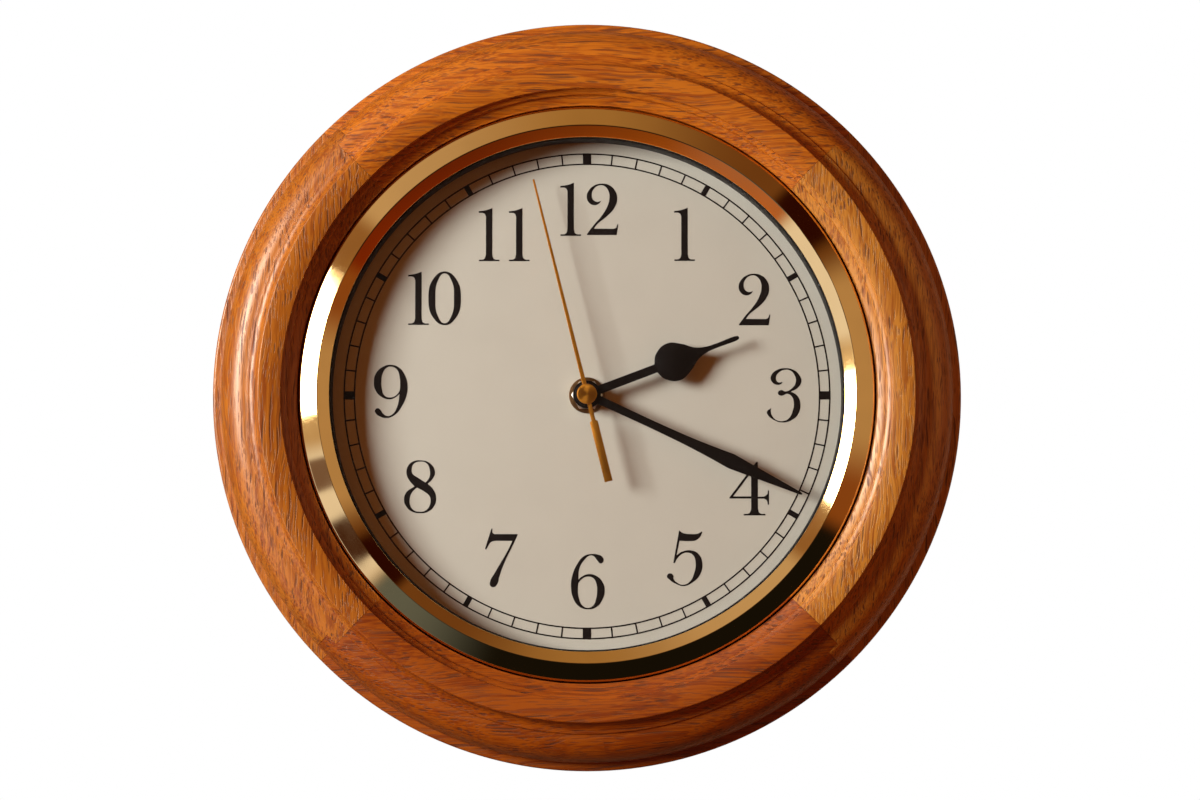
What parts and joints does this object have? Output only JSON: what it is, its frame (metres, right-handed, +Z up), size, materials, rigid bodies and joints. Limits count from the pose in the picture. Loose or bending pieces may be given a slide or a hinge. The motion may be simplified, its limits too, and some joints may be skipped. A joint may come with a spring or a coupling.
{
  "type": "wall clock",
  "caption": "Round oak wall clock with a stepped turned moulding, brass bezel, glazed cream dial, sweeping hands and a battery movement, hung on the wall by a keyhole plate.",
  "frame": {"origin": "point on the hanger plate's wall face, between the top of its slot and its upper edge, on the clock's vertical centre line", "axes": "+Y into the wall, +Z up and +X to the right of someone facing the dial; the dial faces -Y and the hands turn clockwise by the right-hand rule about +Y"},
  "size_m": [0.305, 0.0443, 0.3049],
  "materials": {
    "oak": "golden oak stain under satin varnish, open pores",
    "brass": "polished and lacquered",
    "glass": "clear flat glass",
    "dial": "cream paint, printed",
    "black_plastic": "moulded, fine texture",
    "white_plastic": "moulded acetal",
    "hardboard": "bare hardboard",
    "hand_black": "satin black paint",
    "steel": "zinc plated",
    "magnet": "sintered",
    "copper": "enamelled wire",
    "circuit": "solder resist",
    "rubber": "matt",
    "battery": "plain wrapped cell"
  },
  "bodies": {
    "case": {"frame_segment_top": "oak", "frame_segment_right": "oak", "frame_segment_bottom": "oak", "frame_segment_left": "oak", "bezel_ring": "brass", "glass_lens": "glass", "spacer_ring": "black_plastic", "dial_plate": "dial", "backing_board": "hardboard", "board_screw_1": "steel", "board_screw_2": "steel", "board_screw_3": "steel", "board_screw_4": "steel", "hanger_plate": "steel", "hanger_screw_left": "steel", "hanger_screw_right": "steel", "movement_shell": "black_plastic", "movement_cover": "black_plastic", "stator_plate": "steel", "coil_core": "steel", "coil_bobbin": "white_plastic", "coil_winding": "copper", "circuit_board": "circuit", "quartz_crystal": "steel", "driver_chip": "black_plastic", "contact_positive": "steel", "contact_negative": "steel", "rubber_washer": "rubber", "hub_washer": "brass", "hub_nut": "brass"},
    "minute": {"minute_wheel": "white_plastic", "minute_arbor": "steel", "minute_hand": "hand_black"},
    "seconds": {"seconds_wheel": "white_plastic", "second_hand": "brass", "second_hand_cap": "brass"},
    "hour": {"hour_wheel": "white_plastic", "hour_hand": "hand_black"},
    "third": {"third_wheel": "white_plastic"},
    "step": {"step_wheel": "white_plastic"},
    "rotor": {"rotor_pinion": "white_plastic", "rotor_magnet": "magnet"},
    "motion": {"motion_wheel": "white_plastic"},
    "setting": {"setting_knob": "white_plastic"},
    "battery": {"battery": "battery"}
  },
  "joints": [
    {"name": "minute_turn", "type": "hinge", "parent": "case", "child": "minute", "pos_m": [0, -0.0297, -0.14635], "axis": [0, 1, 0], "continuous": true},
    {"name": "second_turn", "type": "hinge", "parent": "case", "child": "seconds", "pos_m": [0, -0.0312, -0.14635], "axis": [0, 1, 0], "continuous": true},
    {"name": "hour_turn", "type": "hinge", "parent": "case", "child": "hour", "pos_m": [0, -0.0282, -0.14635], "axis": [0, 1, 0], "continuous": true},
    {"name": "third_turn", "type": "hinge", "parent": "case", "child": "third", "pos_m": [-0.01101, -0.0095, -0.14635], "axis": [0, 1, 0], "continuous": true},
    {"name": "step_turn", "type": "hinge", "parent": "case", "child": "step", "pos_m": [0.0065, -0.0056, -0.13706], "axis": [0, 1, 0], "continuous": true},
    {"name": "rotor_turn", "type": "hinge", "parent": "case", "child": "rotor", "pos_m": [0.00331, -0.0056, -0.13021], "axis": [0, 1, 0], "continuous": true},
    {"name": "motion_turn", "type": "hinge", "parent": "case", "child": "motion", "pos_m": [0.0096, -0.0133, -0.14635], "axis": [0, 1, 0], "continuous": true},
    {"name": "setting_turn", "type": "hinge", "parent": "case", "child": "setting", "pos_m": [0.0192, -0.002, -0.14635], "axis": [0, 1, 0], "continuous": true},
    {"name": "battery_lift", "type": "slide", "parent": "case", "child": "battery", "axis": [0, 1, 0], "range_m": [0, 0.025]}
  ],
  "couplings": [
    {"joint": "second_turn", "follows": "minute_turn", "ratio": 60},
    {"joint": "hour_turn", "follows": "minute_turn", "ratio": 0.083333},
    {"joint": "third_turn", "follows": "minute_turn", "ratio": -8},
    {"joint": "step_turn", "follows": "minute_turn", "ratio": -360},
    {"joint": "rotor_turn", "follows": "minute_turn", "ratio": 1800},
    {"joint": "motion_turn", "follows": "minute_turn", "ratio": -0.33333},
    {"joint": "setting_turn", "follows": "minute_turn", "ratio": 1}
  ]
}
